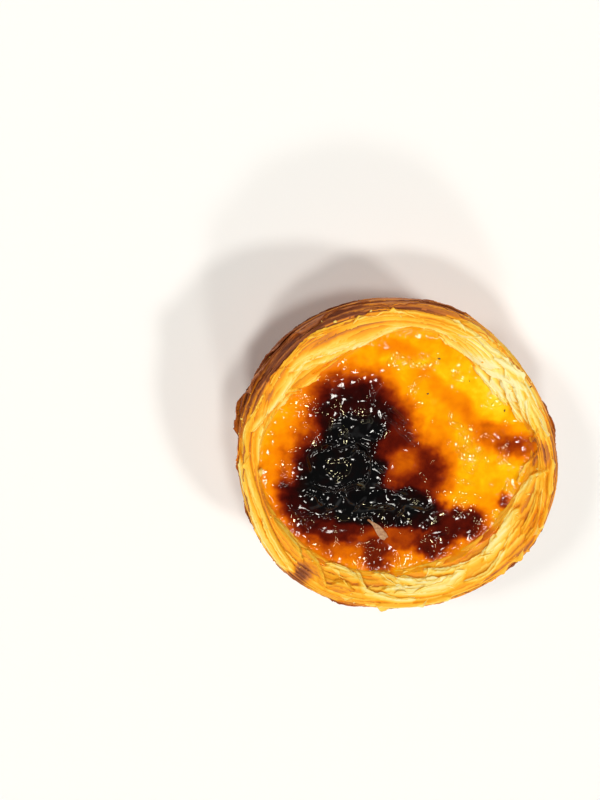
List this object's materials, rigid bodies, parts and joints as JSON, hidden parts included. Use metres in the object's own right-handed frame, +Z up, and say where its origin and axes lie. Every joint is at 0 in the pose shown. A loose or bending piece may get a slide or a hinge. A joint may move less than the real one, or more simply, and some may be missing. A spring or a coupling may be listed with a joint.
{
  "type": "portuguese custard tart",
  "caption": "Round flaky pastry cup with a fanned, torn rim, filled with glossy baked custard that is blistered and scorched in patches.",
  "frame": {"origin": "under the middle of the tart's plan, level with the flat base it rests on", "axes": "+Z up through the custard, +X and +Y level; the darkest blisters of the custard lie towards -X"},
  "size_m": [0.0774, 0.0792, 0.0339],
  "materials": {
    "baked_pastry": "flaky baked dough, pale straw on the torn edges, golden orange in the gaps and toasted brown outside, faint butter sheen",
    "baked_custard": "wet-looking glossy custard skin, yellow orange, caramel brown to black on the blisters"
  },
  "bodies": {
    "root": {"pastry_shell": "baked_pastry", "custard": "baked_custard"}
  },
  "joints": []
}
